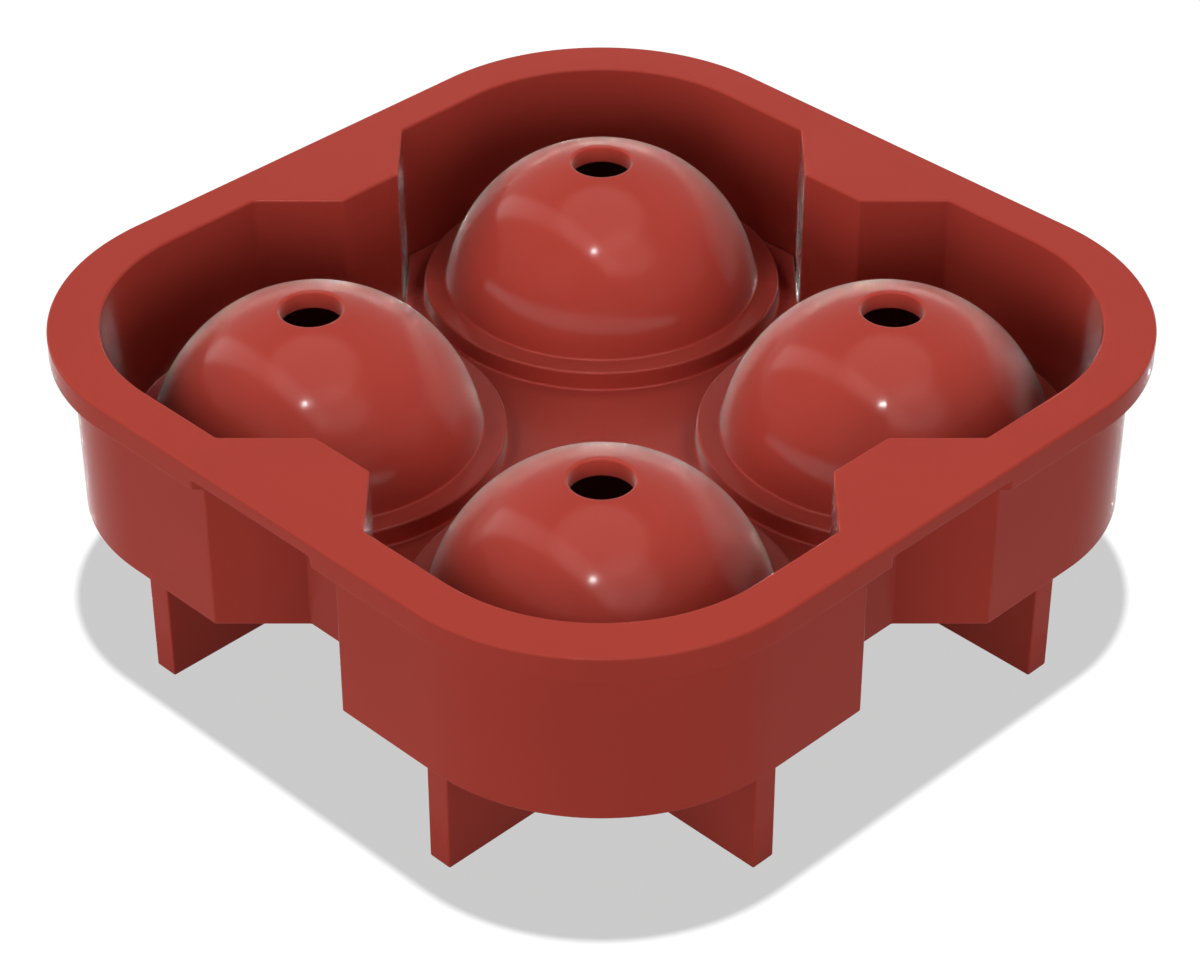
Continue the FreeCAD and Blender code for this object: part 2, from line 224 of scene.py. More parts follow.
def weld(patches):
    """One list of points and one of faces, from grids whose columns close on themselves.

    Points that lie closer than the weld distance become one, and a face that loses a corner by
    that becomes a triangle, or goes away.
    """
    points = np.concatenate([patch.reshape(-1, 3) for patch in patches])
    _, first, place = np.unique(np.round(points / WELD).astype(np.int64), axis=0,
                                return_index=True, return_inverse=True)
    place = place.reshape(-1)
    quads, start = [], 0
    for patch in patches:
        number = start + np.arange(patch[..., 0].size).reshape(patch.shape[:2])
        after = np.roll(number, -1, axis=1)
        grid = np.stack([number[:-1], number[1:], after[1:], after[:-1]], axis=-1)
        quads.append(grid.reshape(-1, 4))
        start += number.size
    quads = place[np.concatenate(quads)]
    same = quads == np.roll(quads, -1, axis=1)
    whole = quads[same.sum(1) == 0]
    cut = quads[same.sum(1) == 1]
    keep = ~(cut == np.roll(cut, -1, axis=1))
    triangles = cut[keep].reshape(-1, 3)
    return points[first], whole, triangles


def skin_volume(points, whole, triangles):
    """The volume in a closed skin: a sixth of the sum of a . (b x c) over its triangles."""
    faces = np.concatenate([whole[:, :3], whole[:, [0, 2, 3]], triangles])
    a, b, c = (points[faces[:, k]] for k in range(3))
    return np.einsum("ij,ij->i", a, np.cross(b, c)).sum() / 6


def make_piece(name, skins, material):
    """A mesh object at the origin made of closed skins, each a list of patches."""
    points, loops, sizes, start, volume = [], [], [], 0, 0.0
    for patches in skins:
        skin, whole, triangles = weld(patches)
        volume += skin_volume(skin, whole, triangles)
        points.append(skin)
        loops += [whole.reshape(-1) + start, triangles.reshape(-1) + start]
        sizes += [np.full(len(whole), 4), np.full(len(triangles), 3)]
        start += len(skin)
    points, loops, sizes = np.concatenate(points), np.concatenate(loops), np.concatenate(sizes)
    mesh = bpy.data.meshes.new(name)
    mesh.vertices.add(len(points))
    mesh.vertices.foreach_set("co", points.astype(np.float32).reshape(-1))
    mesh.loops.add(len(loops))
    mesh.loops.foreach_set("vertex_index", loops.astype(np.int32))
    mesh.polygons.add(len(sizes))
    mesh.polygons.foreach_set("loop_start", (np.cumsum(sizes) - sizes).astype(np.int32))
    mesh.polygons.foreach_set("use_smooth", np.ones(len(sizes), bool))
    mesh.update(calc_edges=True)
    mesh.validate()
    mesh.set_sharp_from_angle(angle=CREASE)
    mesh.materials.append(material)
    piece = bpy.data.objects.new(name, mesh)
    scene.collection.objects.link(piece)
    even = piece.modifiers.new("even_shading", "WEIGHTED_NORMAL")
    even.keep_sharp = True
    print(f"{name}: {len(sizes)} faces, {volume / CUBIC_CENTIMETRE:.2f} cubic centimetres")
    return piece

# %% [markdown]
# Moulded plastic is never one flat colour: the pigment is a little cloudy, the gloss changes slightly
# from place to place, and the steel of the tool leaves a fine grain. Both mouldings have all three,
# so they are one node group, to which each material gives its pigment. They follow the object's own
# coordinates, and so they stay in place from every side.

# %% Surface of a moulding
CLOUDS = 55.0
CLOUD_DETAIL = 3.0
CLOUD_DEPTH = 0.04
FINE_DETAIL = 2.0
GLOSS_PATCHES = 140.0
SMOOTHEST = 0.12
ROUGHEST = 0.16
GRAIN = 2600.0
GRAIN_STRENGTH = 0.06
GRAIN_DEPTH = 0.02 * MM


def noise(nodes, links, place, scale, detail):
    """The value of a noise texture with this many features a metre, and this many finer layers."""
    texture = nodes.new("ShaderNodeTexNoise")
    texture.inputs["Scale"].default_value = scale
    texture.inputs["Detail"].default_value = detail
    links.new(place, texture.inputs["Vector"])
    return texture.outputs["Fac"]


def ranged(nodes, links, value, low, high):
    """A socket that runs from low to high as the value runs from 0 to 1."""
    ramp = nodes.new("ShaderNodeMapRange")
    ramp.inputs["To Min"].default_value = low
    ramp.inputs["To Max"].default_value = high
    links.new(value, ramp.inputs["Value"])
    return ramp.outputs["Result"]


def moulded_surface():
    """A node group with the pigment times 1 - CLOUD_DEPTH to 1 + CLOUD_DEPTH, a gloss and a grain."""
    group = bpy.data.node_groups.new("moulded_surface", "ShaderNodeTree")
    group.interface.new_socket("Place", in_out="INPUT", socket_type="NodeSocketVector")
    group.interface.new_socket("Pigment", in_out="INPUT", socket_type="NodeSocketColor")
    group.interface.new_socket("Color", in_out="OUTPUT", socket_type="NodeSocketColor")
    group.interface.new_socket("Roughness", in_out="OUTPUT", socket_type="NodeSocketFloat")
    group.interface.new_socket("Normal", in_out="OUTPUT", socket_type="NodeSocketVector")
    nodes, links = group.nodes, group.links
    given = nodes.new("NodeGroupInput").outputs
    result = nodes.new("NodeGroupOutput").inputs

    cloudy = nodes.new("ShaderNodeVectorMath")
    cloudy.operation = "SCALE"
    clouds = noise(nodes, links, given["Place"], CLOUDS, CLOUD_DETAIL)
    links.new(given["Pigment"], cloudy.inputs[0])
    links.new(ranged(nodes, links, clouds, 1 - CLOUD_DEPTH, 1 + CLOUD_DEPTH), cloudy.inputs["Scale"])
    links.new(cloudy.outputs["Vector"], result["Color"])

    patches = noise(nodes, links, given["Place"], GLOSS_PATCHES, FINE_DETAIL)
    links.new(ranged(nodes, links, patches, SMOOTHEST, ROUGHEST), result["Roughness"])

    grain = nodes.new("ShaderNodeBump")
    grain.inputs["Strength"].default_value = GRAIN_STRENGTH
    grain.inputs["Distance"].default_value = GRAIN_DEPTH
    height = noise(nodes, links, given["Place"], GRAIN, FINE_DETAIL)
    links.new(height, grain.inputs["Height"])
    links.new(grain.outputs["Normal"], result["Normal"])
    return group


surface = moulded_surface()
print("node group:", surface.name, "with", len(surface.nodes), "nodes")

# %% [markdown]
# The mold is red plastic with an even shine. Seen straight on it mirrors little, and the lid mirrors
# a little more than the tray. Towards a grazing look the domes turn pale, and the tray's walls don't.
# That paleness is a painted sheen, which stands in for the white room mirrored at grazing angles. The
# lid's pigment mixes into a pale colour by how far a face turns away, raised to a power that keeps
# the painted sheen on the rims of the domes.

# %% Red plastic
RED = (0.468, 0.055, 0.038)
# The next three values paint a sheen on the lid's rims, in place of mirrored light.
SHEEN_PAINT = (0.80, 0.50, 0.45)
SHEEN_PAINT_SHARE = 0.9
SHEEN_PAINT_POWER = 5.0
TRAY_SHINE = 0.03
LID_SHINE = 0.06


def with_painted_sheen(nodes, links, colour):
    """The colour with a painted sheen: mixed into a pale colour by a share of strength * facing ** power.

    Here facing is 1 less the cosine between the surface's normal and the line of sight.
    """
    facing = nodes.new("ShaderNodeLayerWeight").outputs["Facing"]
    steep = nodes.new("ShaderNodeMath")
    steep.operation = "POWER"
    steep.inputs[1].default_value = SHEEN_PAINT_POWER
    links.new(facing, steep.inputs[0])
    mixed = nodes.new("ShaderNodeMix")
    mixed.data_type = "RGBA"
    mixed.inputs["B"].default_value = (*SHEEN_PAINT, 1)
    links.new(ranged(nodes, links, steep.outputs["Value"], 0.0, SHEEN_PAINT_SHARE), mixed.inputs["Factor"])
    links.new(colour, mixed.inputs["A"])
    return mixed.outputs["Result"]


def red_plastic(name, shine, has_painted_sheen):
    """A red moulding's material, with this level of mirrored light, with the painted sheen or without."""
    material = bpy.data.materials.new(name)
    material.use_nodes = True
    nodes, links = material.node_tree.nodes, material.node_tree.links
    shader = nodes["Principled BSDF"]
    moulded = nodes.new("ShaderNodeGroup")
    moulded.node_tree = surface
    moulded.inputs["Pigment"].default_value = (*RED, 1)
    links.new(nodes.new("ShaderNodeTexCoord").outputs["Object"], moulded.inputs["Place"])
    colour = moulded.outputs["Color"]
    if has_painted_sheen:
        colour = with_painted_sheen(nodes, links, colour)
    links.new(colour, shader.inputs["Base Color"])
    links.new(moulded.outputs["Roughness"], shader.inputs["Roughness"])
    links.new(moulded.outputs["Normal"], shader.inputs["Normal"])
    shader.inputs["Specular IOR Level"].default_value = shine
    return material


tray_plastic = red_plastic("red_plastic", TRAY_SHINE, False)
lid_plastic = red_plastic("red_plastic_painted_sheen", LID_SHINE, True)
print("materials:", tray_plastic.name, "and", lid_plastic.name)

# %% [markdown]
# A section that is turned about a ball's axis makes everything round on the mold: bowls, lips,
# collars and domes. It is a list of points, each a distance from the axis and a height. The flat
# field around it runs from its circle out to the wall. Each border point of the field looks at the
# ball's axis under some angle, and the turned section uses those same angles, so the two meet point
# on point.

# %% Sections and fields
AXIS_STEPS = 24
FILLET_STEPS = 4


def arc(centre, radius, start, end, steps):
    """Section points on an arc: centre + radius * (cos a, sin a), with a from start to end in degrees."""
    angle = np.radians(np.linspace(start, end, steps + 1))
    place, height = centre
    return np.stack([place + radius * np.cos(angle), height + radius * np.sin(angle)], axis=-1)


def field_border(shape, grow):
    """A quarter of the outline and the way back to its start along the mold's two middle lines."""
    outline = quarter_outline(shape, grow)
    reach = outline[0, 0]
    share = np.linspace(1.0, 0.0, AXIS_STEPS + 1)[:, None]
    down = share * np.array([0.0, reach])
    out = (1 - share[1:-1]) * np.array([reach, 0.0])
    return np.concatenate([outline, down, out])


def border_angles(border):
    """The direction of each border point, seen from the ball's axis."""
    return np.arctan2(border[:, 1] - BALL_PLACE, border[:, 0] - BALL_PLACE)


def turned(section, angles):
    """The grid of section points turned to each angle about the ball's axis."""
    radius, z = section[:, 0, None], section[:, 1, None]
    x = BALL_PLACE + radius * np.cos(angles)
    y = BALL_PLACE + radius * np.sin(angles)
    return np.stack([x, y, np.broadcast_to(z, x.shape)], axis=-1)


def field(border, radius, z):
    """The flat grid between a circle about the ball's axis and the border."""
    circle = turned(np.array([(radius, z)]), border_angles(border))
    return np.concatenate([circle, at_height(border, z)[None]])


def in_all_quarters(patches):
    """The same patches at all four balls."""
    return [quarter_turn(patch, number) for patch in patches for number in range(QUARTERS)]


# %% [markdown]
# The tray's skin starts at the bottom of a bowl. It climbs the half ball, turns over the lip, runs
# along the floor and up the basin's wall, turns over the rim and goes down outside. The rim is a
# square plate, and under it a band follows the pinched wall. Where the wall isn't pinched, the
# plate and the band are flush: there the rows of the plate's lower edge fall together, and welding
# takes their faces out.

# %% Skin of the tray
EDGE = 0.4 * MM
FINE_EDGE = 0.25 * MM
SPHERE_STEPS = 40
round_angles = np.radians(np.linspace(0, 90, FILLET_STEPS + 1))


def inner_top_edge(shape, z, radius):
    """Rings over an inner edge, from the upright wall to the flat top at z."""
    return [ring(shape, z - radius * (1 - math.sin(a)), radius * (1 - math.cos(a)))
            for a in round_angles]


def outer_top_edge(shape, z, radius, pinched=True):
    """Rings over an outer edge, from the flat top at z to the upright side."""
    return [ring(shape, z - radius * (1 - math.cos(a)), radius * (math.sin(a) - 1), pinched)
            for a in round_angles]


def lower_edge(shape, z, radius):
    """Rings under an outer edge, from the upright side to the flat underside at z."""
    return [ring(shape, z + radius * (1 - math.sin(a)), radius * (math.cos(a) - 1))
            for a in round_angles]


def tucked_edge(shape, z, radius):
    """Rings round the lower edge of the rim's plate, which is there only beside a pinch.

    The share min(1, overhang / (2 * radius)) scales how far the rounding lifts the edge and moves
    it in, so the rounding fades out where the overhang ends.
    """
    outer = ring(shape, z, 0.0, False)
    inner = ring(shape, z, -radius, False)
    overhang = np.linalg.norm(outer - ring(shape, z), axis=1)
    share = np.minimum(overhang / (2 * radius), 1.0)[:, None]
    rings = []
    for a in round_angles:
        points = outer + share * (1 - math.cos(a)) * (inner - outer)
        points[:, 2] += share[:, 0] * radius * (1 - math.sin(a))
        rings.append(points)
    return rings


wall_rings = np.stack([
    ring(basin, floor_top),
    *inner_top_edge(basin, rim_top, EDGE),
    *outer_top_edge(rim, rim_top, EDGE, pinched=False),
    *tucked_edge(rim, flange_level, FINE_EDGE),
    ring(rim, flange_level),
    *lower_edge(rim, band_level, FINE_EDGE),
    ring(wall, band_level),
    *lower_edge(wall, floor_level, FINE_EDGE),
])
lip_foot = math.sqrt(BOWL_RADIUS ** 2 - (BALL_LEVEL - floor_top) ** 2)
keel_circle = math.sqrt(BOWL_RADIUS ** 2 - (BALL_LEVEL - floor_level) ** 2)
ball_middle = (0.0, BALL_LEVEL)
lip_in = (BALL_RADIUS + FINE_EDGE, BALL_LEVEL - FINE_EDGE)
lip_out = (BOWL_RADIUS - FINE_EDGE, BALL_LEVEL - FINE_EDGE)
lip_angle = math.degrees(math.asin(FINE_EDGE / BALL_RADIUS))
foot_angle = math.degrees(math.acos(lip_foot / BOWL_RADIUS))
keel_angle = math.degrees(math.acos(keel_circle / BOWL_RADIUS))
bowl_section = np.concatenate([
    arc(ball_middle, BALL_RADIUS, -90, -lip_angle, SPHERE_STEPS),
    arc(lip_in, FINE_EDGE, 180, 90, FILLET_STEPS),
    arc(lip_out, FINE_EDGE, 90, 0, FILLET_STEPS),
    arc(ball_middle, BOWL_RADIUS, -lip_angle, -foot_angle, FILLET_STEPS),
])
keel_section = arc(ball_middle, BOWL_RADIUS, -keel_angle, -90, SPHERE_STEPS)
floor_border = field_border(basin, 0.0)
base_border = field_border(wall, -FINE_EDGE)
tray_skin = [wall_rings] + in_all_quarters([
    turned(bowl_section, border_angles(floor_border)),
    field(floor_border, lip_foot, floor_top),
    field(base_border, keel_circle, floor_level)[::-1],
    turned(keel_section, border_angles(base_border)),
])
print("rings up, over and down the wall:", len(wall_rings))

# %% [markdown]
# The tray stands on four straight ribs that cross under the bowls, and the eight ends that come out
# from under the floor are its feet. A rib is a rectangle carried along a line. Its top follows the
# underside of the bowls, in the middle of their wall, and elsewhere it ends inside the floor, so
# the rib grows out of the tray and never shows inside a ball.

# %% Ribs and feet
RIB_HALF = 2.05 * MM
FOOT_END = 63.0 * MM
RIB_STEPS = 160
rib_root = (floor_level + floor_top) / 2
shell_middle = (BALL_RADIUS + BOWL_RADIUS) / 2


def rib_top(y):
    """How high the rib reaches: BALL_LEVEL - sqrt(R * R - d * d) under a bowl, d from its axis."""
    beside = np.abs(np.abs(y) - BALL_PLACE)
    drop = np.sqrt(np.maximum(shell_middle ** 2 - beside ** 2, 0.0))
    return np.minimum(rib_root, BALL_LEVEL - drop)


def rib_skin():
    """The rib along Y through two balls: sections all the way, with rounded ends and lower edges."""
    end = FOOT_END - FINE_EDGE * (1 - np.sin(round_angles))
    straight = np.linspace(-end[0], end[0], RIB_STEPS + 1)[1:-1]
    y = np.concatenate([-end[::-1], straight, end])
    end_inset = FINE_EDGE * (1 - np.cos(round_angles))
    inset = np.concatenate([end_inset[::-1], np.zeros(len(straight)), end_inset])
    half, low, high = RIB_HALF - inset, inset, rib_top(y)
    turn = np.radians(np.linspace(-90, 0, FILLET_STEPS + 1))
    right = np.stack(np.broadcast_arrays(
        (half - FINE_EDGE)[:, None] + FINE_EDGE * np.cos(turn),
        (low + FINE_EDGE)[:, None] + FINE_EDGE * np.sin(turn)), axis=-1)
    top = np.stack([half, high], axis=-1)[:, None]
    half_section = np.concatenate([right, top], axis=1)
    section = np.concatenate([half_section, half_section[:, ::-1] * (-1, 1)], axis=1)
    middle = np.array([0.0, rib_root / 2])
    cap = np.broadcast_to(middle, section[:1].shape)
    section = np.concatenate([cap, section, cap])
    y = np.concatenate([y[:1], y, y[-1:]])
    x, z = BALL_PLACE + section[..., 0], section[..., 1]
    return np.stack([x, np.broadcast_to(y[:, None], x.shape), z], axis=-1)


rib = rib_skin()
rib_skins = [[quarter_turn(rib, number)] for number in range(QUARTERS)]
tray = make_piece("tray_moulding", [tray_skin] + rib_skins, tray_plastic)
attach(tray, "tray")
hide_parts("lower_tray")

# %% [markdown]
# The lid's skin runs the same way: from the socket that slips over a bowl's lip, up the inside of
# the dome, through the fill hole, down the outside, over the collar and along the plate to its
# edge. Where a dome meets its ledge and a collar its plate, a small hollow radius catches a soft
# shade, as it does on the real moulding.

# %% Skin of the lid
HOLLOW = 0.4 * MM
HOLE_EDGE = 0.41 * MM
DOME_STEPS = 48
LIP_CLEARANCE = 0.3 * MM
socket_radius = BOWL_RADIUS + LIP_CLEARANCE
crown_in = math.degrees(math.acos((HOLE_RADIUS + FINE_EDGE) / BALL_RADIUS))
crown_height = BALL_LEVEL + BALL_RADIUS * math.sin(math.radians(crown_in))
hole_in = (HOLE_RADIUS + FINE_EDGE, crown_height + FINE_EDGE)
edge_place = HOLE_RADIUS + HOLE_EDGE
edge_height = math.sqrt((DOME_RADIUS - HOLE_EDGE) ** 2 - edge_place ** 2)
hole_out = (edge_place, BALL_LEVEL + edge_height)
crown_out = math.degrees(math.atan2(edge_height, edge_place))
ledge_rise = collar_top - BALL_LEVEL + HOLLOW
ledge_place = math.sqrt((DOME_RADIUS + HOLLOW) ** 2 - ledge_rise ** 2)
ledge_angle = math.degrees(math.atan2(ledge_rise, ledge_place))
ledge_hollow = (ledge_place, BALL_LEVEL + ledge_rise)
dome_section = np.concatenate([
    [(socket_radius, floor_top), (socket_radius, BALL_LEVEL), (BALL_RADIUS, BALL_LEVEL)],
    arc(ball_middle, BALL_RADIUS, 0, crown_in, DOME_STEPS)[1:],
    arc(hole_in, FINE_EDGE, -90, -180, FILLET_STEPS)[1:],
    arc(hole_out, HOLE_EDGE, 180, crown_out, 2 * FILLET_STEPS),
    arc(ball_middle, DOME_RADIUS, crown_out, ledge_angle, DOME_STEPS)[1:],
    arc(ledge_hollow, HOLLOW, 180 + ledge_angle, 270, FILLET_STEPS)[1:],
    arc((COLLAR_RADIUS - EDGE, collar_top - EDGE), EDGE, 90, 0, FILLET_STEPS),
    arc((COLLAR_RADIUS + HOLLOW, web_top + HOLLOW), HOLLOW, 180, 270, FILLET_STEPS),
])
plate_border = field_border(plate, -FINE_EDGE)
plate_edge = np.stack([
    *outer_top_edge(plate, web_top, FINE_EDGE),
    *lower_edge(plate, floor_top, FINE_EDGE),
])
lid_skin = [plate_edge] + in_all_quarters([
    field(plate_border, socket_radius, floor_top)[::-1],
    turned(dome_section, border_angles(plate_border)),
    field(plate_border, COLLAR_RADIUS + HOLLOW, web_top),
])
lid = make_piece("lid_moulding", [lid_skin], lid_plastic)
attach(lid, "lid")
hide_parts("dome_lid")

# %% [markdown]
# The photo is taken from one corner and from above, with a long lens, so the sides hardly taper.
# The camera stands where the mold's rim, domes, holes and feet land on their places in the picture.

# %% Camera
VIEW_AZIMUTH = math.radians(45.0)
VIEW_ELEVATION = math.radians(35.90)
VIEW_DISTANCE = 0.52541
VIEW_TARGET = Vector((0.0, 0.0, 0.017164))
SENSOR_WIDTH = 36.0
FOCAL_LENGTH = 101.96
SIDEWAYS = -0.0013


def direction(azimuth, elevation):
    """The direction towards this azimuth, counted from -Y to +X, and this height in radians."""
    flat = math.cos(elevation)
    return Vector((math.sin(azimuth) * flat, -math.cos(azimuth) * flat, math.sin(elevation)))


lens = bpy.data.cameras.new("camera")
lens.sensor_width = SENSOR_WIDTH
lens.lens = FOCAL_LENGTH
lens.shift_x = SIDEWAYS
camera = bpy.data.objects.new("camera", lens)
towards_camera = direction(VIEW_AZIMUTH, VIEW_ELEVATION)
camera.location = VIEW_TARGET + VIEW_DISTANCE * towards_camera
camera.rotation_euler = towards_camera.to_track_quat("Z", "Y").to_euler()
scene.collection.objects.link(camera)
scene.camera = camera
print("camera, in millimetres:", [round(length / MM, 1) for length in camera.location])

# %% [markdown]
# The mold stands on a white ground, and its only shadow is a pale, even one straight below the rim.
# So the ground has two faces. For the light that falls on the mold it is plain and dark, and throws
# little red or white back. Where it is seen, straight or in a mirror, it glows and is paler, and
# a lamp right above it, which lights nothing else, draws the shadow.

# %% Ground and its lamp
GROUND_HALF = 3.0
GROUND_DROP = 0.05 * MM
GROUND_BOUNCE = 0.08
GROUND_SHOWN = 0.16
GROUND_GLOW = 0.59
SHADOW_LAMP = 8.8
SHADOW_SOFTNESS = 2.0


def shown_rays(nodes, links):
    """A socket that is 1 for the camera's rays and for mirrored and transmitted ones, else 0."""
    path = nodes.new("ShaderNodeLightPath")
    seen = path.outputs["Is Camera Ray"]
    for ray in ("Is Glossy Ray", "Is Transmission Ray"):
        either = nodes.new("ShaderNodeMath")
        either.operation = "MAXIMUM"
        links.new(seen, either.inputs[0])
        links.new(path.outputs[ray], either.inputs[1])
        seen = either.outputs["Value"]
    return seen


def matt(nodes, grey):
    """A diffuse shader of this grey."""
    shader = nodes.new("ShaderNodeBsdfDiffuse")
    shader.inputs["Color"].default_value = (grey, grey, grey, 1)
    return shader.outputs["BSDF"]


def ground_material():
    """A plain dark ground for the mold's own light, and a pale, glowing one for what is seen."""
    material = bpy.data.materials.new("ground")
    material.use_nodes = True
    nodes, links = material.node_tree.nodes, material.node_tree.links
    nodes.remove(nodes["Principled BSDF"])
    glow = nodes.new("ShaderNodeEmission")
    glow.inputs["Strength"].default_value = GROUND_GLOW
    both = nodes.new("ShaderNodeAddShader")
    links.new(matt(nodes, GROUND_SHOWN), both.inputs[0])
    links.new(glow.outputs["Emission"], both.inputs[1])
    mixed = nodes.new("ShaderNodeMixShader")
    links.new(shown_rays(nodes, links), mixed.inputs["Fac"])
    links.new(matt(nodes, GROUND_BOUNCE), mixed.inputs[1])
    links.new(both.outputs["Shader"], mixed.inputs[2])
    links.new(mixed.outputs["Shader"], nodes["Material Output"].inputs["Surface"])
    return material


def sun(name, towards, strength, width):
    """A lamp at infinity in this direction, as wide as this angle in degrees."""
    light = bpy.data.lights.new(name, "SUN")
    light.energy = strength
    light.angle = math.radians(width)
    lamp = bpy.data.objects.new(name, light)
    lamp.rotation_euler = towards.to_track_quat("Z", "Y").to_euler()
    scene.collection.objects.link(lamp)
    return lamp


def group_of(name, *pieces):
    """A collection of these pieces, for a lamp that lights or is blocked by nothing else."""
    group = bpy.data.collections.new(name)
    for piece in pieces:
        group.objects.link(piece)
    return group


ground_mesh = bpy.data.meshes.new("ground")
corners = GROUND_HALF * np.array([(-1, -1, 0), (1, -1, 0), (1, 1, 0), (-1, 1, 0)])
ground_mesh.from_pydata((corners - (0, 0, GROUND_DROP)).tolist(), [], [(0, 1, 2, 3)])
ground_mesh.materials.append(ground_material())
ground = bpy.data.objects.new("ground", ground_mesh)
scene.collection.objects.link(ground)
ground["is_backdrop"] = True
shadow_lamp = sun("shadow_lamp", Vector((0, 0, 1)), SHADOW_LAMP, SHADOW_SOFTNESS)
shadow_lamp.light_linking.receiver_collection = group_of("only_ground", ground)
print("ground's width, in metres:", 2 * GROUND_HALF)

# %% [markdown]
# The mold's own light is soft and comes from all sides. A ring of wide, far lamps stands low around
# it, a little brighter on the left. For the tray's broad flat rim there are high lamps as well: one
# straight above, two behind to the left and right, and a weak one halfway up behind. The lid has
# a second ring from halfway up, so that the domes stand out from the shaded basin. The plastic
# mirrors none of these lamps, and their light doesn't go on from face to face, because the photo's
# shaded walls show none of it. A lamp's row is its longitude, counted from the camera to the right,
# its latitude and its strength.

# %% Soft lamps all around
SOFT_WIDTH = 30.0
LOW = 10.0
HALFWAY = 38.0
HIGH = 65.0
OVERHEAD = 90.0
tray_lamps = [(-135, LOW, 0.60), (-90, LOW, 0.92), (-45, LOW, 0.30), (-20, LOW, 0.58),
              (20, LOW, 0.50), (45, LOW, 0.25), (90, LOW, 0.35), (135, LOW, 0.50), (180, LOW, 0.58),
              (180, HALFWAY, 0.25), (-135, HIGH, 0.55), (135, HIGH, 0.30), (0, OVERHEAD, 0.90)]
lid_lamps = [(-135, LOW, 1.00), (-90, LOW, 0.70), (0, LOW, 1.00), (45, LOW, 0.56), (90, LOW, 0.32),
             (135, LOW, 0.94), (180, LOW, 0.30), (-135, HALFWAY, 0.39), (-90, HALFWAY, 0.28),
             (-45, HALFWAY, 0.95), (45, HALFWAY, 0.74), (135, HALFWAY, 0.53)]


def from_camera(longitude, latitude):
    """A direction given by angles in degrees, with the camera at longitude 0."""
    return direction(VIEW_AZIMUTH + math.radians(longitude), math.radians(latitude))


lamps_of = ((tray_lamps, group_of("only_tray", tray)), (lid_lamps, group_of("only_lid", lid)))
for rows, group in lamps_of:
    for longitude, latitude, strength in rows:
        lamp = sun("soft_lamp", from_camera(longitude, latitude), strength, SOFT_WIDTH)
        lamp.light_linking.receiver_collection = group
        lamp.visible_glossy = False
        lamp.data.cycles.max_bounces = 0
print("soft lamps:", len(tray_lamps) + len(lid_lamps))

# %% [markdown]
# What the plastic mirrors is set apart from what lights it. The world gives hardly any light, but
# wherever it is seen or mirrored it is a white room with strips of light on its walls: a round one
# overhead and two bands, which draw the pale streaks over each dome. Its strength is worked out from
# the direction of the ray. A band runs through three directions, each a longitude and a latitude,
# and its row ends with half its width in degrees and its brightness. Every edge fades smoothly, over
# SOFT_EDGE of the cosine. The room isn't sampled as a lamp, because its strips show only to rays
# that are seen or mirrored.

# %% Room that the gloss shows
ROOM_LIGHT = 0.03
ROOM_SHOWN = 1.0
SOFT_EDGE = 0.06
CAP_RADIUS = 27.0
CAP_LEVEL = 4.4
bands = [((-10, 63), (-92, 62), (-134, 15), 6.0, 4.6),
         ((5, 60), (33, 54), (66, 60), 5.0, 5.5)]


def between(nodes, links, value, low, high, level):
    """A socket that goes smoothly from 0, where the value is low, to the level, where it is high."""
    ramp = nodes.new("ShaderNodeMapRange")
    ramp.interpolation_type = "SMOOTHSTEP"
    ramp.inputs["From Min"].default_value = low
    ramp.inputs["From Max"].default_value = high
    ramp.inputs["To Max"].default_value = level
    links.new(value, ramp.inputs["Value"])
    return ramp.outputs["Result"]


def along(nodes, links, look, pole):
    """A socket with the cosine between the line of sight and this direction."""
    dot = nodes.new("ShaderNodeVectorMath")
    dot.operation = "DOT_PRODUCT"
    dot.inputs[1].default_value = pole
    links.new(look, dot.inputs[0])
    return dot.outputs["Value"]


def joined(nodes, links, operation, first, second=0.0):
    """A socket with the result of a Math node for a socket and another socket, or a number.

    An operation on one value, such as ABSOLUTE, leaves the second out.
    """
    node = nodes.new("ShaderNodeMath")
    node.operation = operation
    links.new(first, node.inputs[0])
    if isinstance(second, float):
        node.inputs[1].default_value = second
    else:
        links.new(second, node.inputs[1])
    return node.outputs["Value"]


def band(nodes, links, look, ends, half_width, level):
    """A strip of light along the circle through three directions, as bright as this level.

    All points of that circle have the same cosine with the direction square to it, the pole. How
    far a ray's own cosine lies from it gives the place across the strip, and its cosine with the
    middle direction gives the place along it.
    """
    first, middle, last = (from_camera(*place) for place in ends)
    pole = (middle - first).cross(last - first).normalized()
    off = joined(nodes, links, "SUBTRACT", along(nodes, links, look, pole), pole.dot(first))
    away = joined(nodes, links, "ABSOLUTE", off)
    edge = math.sin(math.radians(half_width))
    across = between(nodes, links, away, edge + SOFT_EDGE / 2, edge - SOFT_EDGE / 2, level)
    reach = min(middle.dot(first), middle.dot(last))
    near = along(nodes, links, look, middle)
    within = between(nodes, links, near, reach - SOFT_EDGE, reach + SOFT_EDGE, 1.0)
    return joined(nodes, links, "MULTIPLY", across, within)


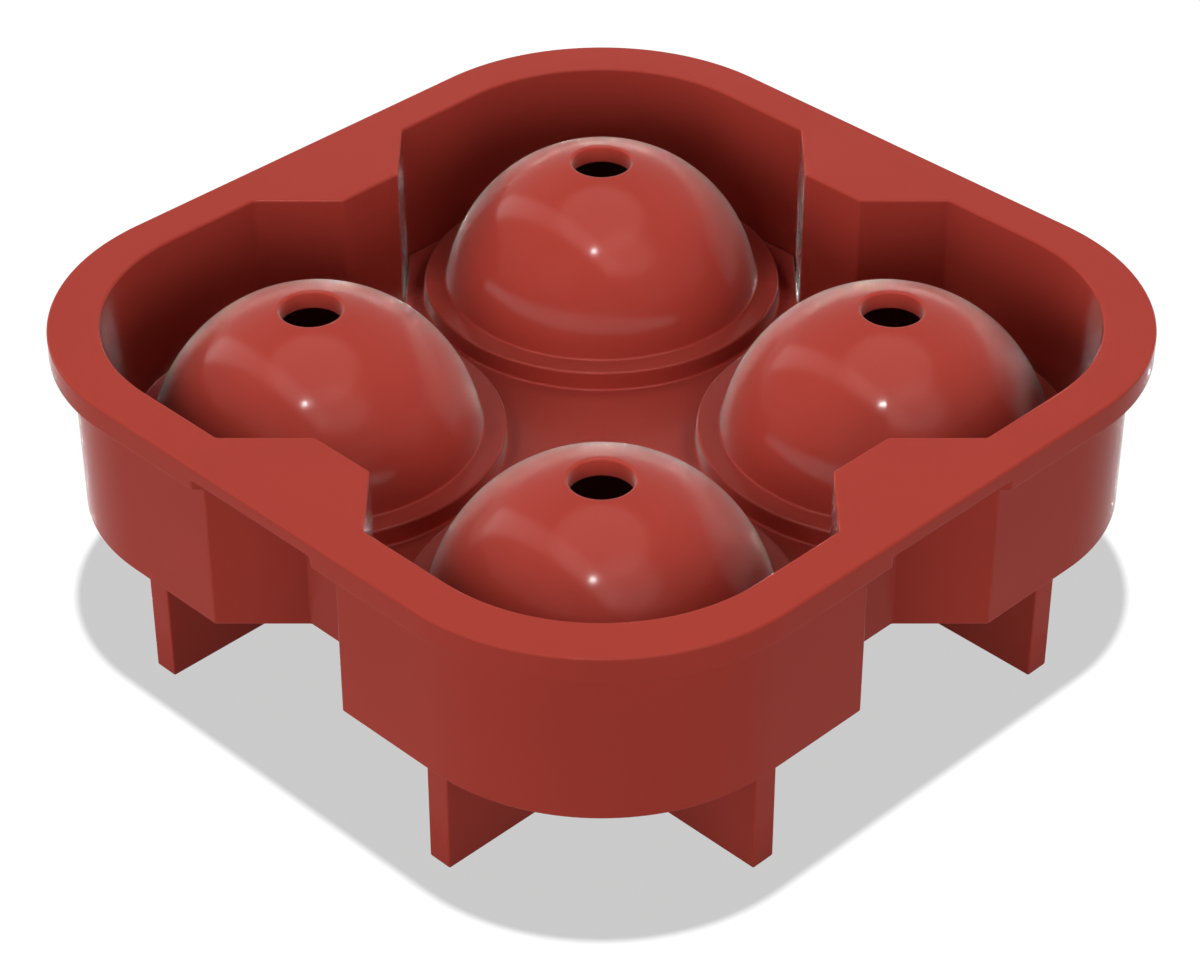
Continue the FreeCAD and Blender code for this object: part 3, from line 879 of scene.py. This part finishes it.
def room():
    """The world: ROOM_LIGHT for light, and ROOM_SHOWN plus the strips where it is shown."""
    world = bpy.data.worlds.new("room")
    world.use_nodes = True
    nodes, links = world.node_tree.nodes, world.node_tree.links
    look = nodes.new("ShaderNodeTexCoord").outputs["Generated"]
    edge = math.cos(math.radians(CAP_RADIUS))
    height = along(nodes, links, look, Vector((0, 0, 1)))
    total = between(nodes, links, height, edge - SOFT_EDGE / 2, edge + SOFT_EDGE / 2, CAP_LEVEL)
    for *ends, half_width, level in bands:
        strip = band(nodes, links, look, ends, half_width, level)
        total = joined(nodes, links, "ADD", total, strip)
    total = joined(nodes, links, "ADD", total, ROOM_SHOWN)
    shown = joined(nodes, links, "MULTIPLY", shown_rays(nodes, links), total)
    strength = joined(nodes, links, "MAXIMUM", shown, ROOM_LIGHT)
    nodes["Background"].inputs["Color"].default_value = (1, 1, 1, 1)
    links.new(strength, nodes["Background"].inputs["Strength"])
    world.cycles.sampling_method = "NONE"
    return world


scene.world = room()
print("room:", len(scene.world.node_tree.nodes), "nodes for", 1 + len(bands), "strips of light")

# %% [markdown]
# Four wide panels serve the gloss alone: two behind and below pale the far rims of the domes, one
# low and long draws the streak along each dome's foot, and one fills the right. The mold itself
# doesn't shade them, because the basin would hide them all. For that each is sampled only as a lamp,
# and a mirrored ray never looks for it, since such a ray would stop at the basin's wall. A panel's
# row is its longitude and latitude, its size along and across the horizon in degrees, and its
# brightness. A fifth, tiny and very bright panel is the lamp whose dot shows on each dome.

# %% Panels and the dot
PANEL_DISTANCE = 10.0
panels = [(-165, -16, 40, 58, 0.6), (165, -16, 40, 58, 0.7),
          (-20, 10, 150, 13, 5.5), (125, 8, 40, 30, 1.0)]
DOT_TOWARDS = Vector((0.248, -0.377, 0.892))
DOT_WIDTH = 1.5
DOT_LEVEL = 1500.0


def panel(name, towards, wide, high, level, group):
    """A far rectangular lamp for the gloss of this group alone, this many degrees wide and high.

    Its power is level * pi * area, which makes its face as bright as the level.
    """
    light = bpy.data.lights.new(name, "AREA")
    light.shape = "RECTANGLE"
    light.size = 2 * PANEL_DISTANCE * math.tan(math.radians(wide / 2))
    light.size_y = 2 * PANEL_DISTANCE * math.tan(math.radians(high / 2))
    light.energy = level * math.pi * light.size * light.size_y
    lamp = bpy.data.objects.new(name, light)
    lamp.location = PANEL_DISTANCE * towards
    lamp.rotation_euler = towards.to_track_quat("Z", "Y").to_euler()
    lamp.visible_diffuse = False
    lamp.light_linking.receiver_collection = group
    scene.collection.objects.link(lamp)
    return lamp


both_pieces = group_of("both_pieces", tray, lid)
no_blockers = group_of("no_blockers", camera)
for longitude, latitude, wide, high, level in panels:
    lamp = panel("panel", from_camera(longitude, latitude), wide, high, level, both_pieces)
    lamp.light_linking.blocker_collection = no_blockers
    lamp.data.cycles.use_multiple_importance_sampling = False
panel("dot_lamp", DOT_TOWARDS, DOT_WIDTH, DOT_WIDTH, DOT_LEVEL, both_pieces)
scene.view_settings.view_transform = "Standard"
print("panels:", len(panels), "and a dot", DOT_WIDTH, "degrees wide")

# %% [markdown]
# The box of the visual model is printed. The visual model has to fill the same box, with its
# rounded edges just inside it.

# %% Sizes for the record
low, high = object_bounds()
print("visual box, in millimetres:", [round(length / MM, 2) for length in high - low])
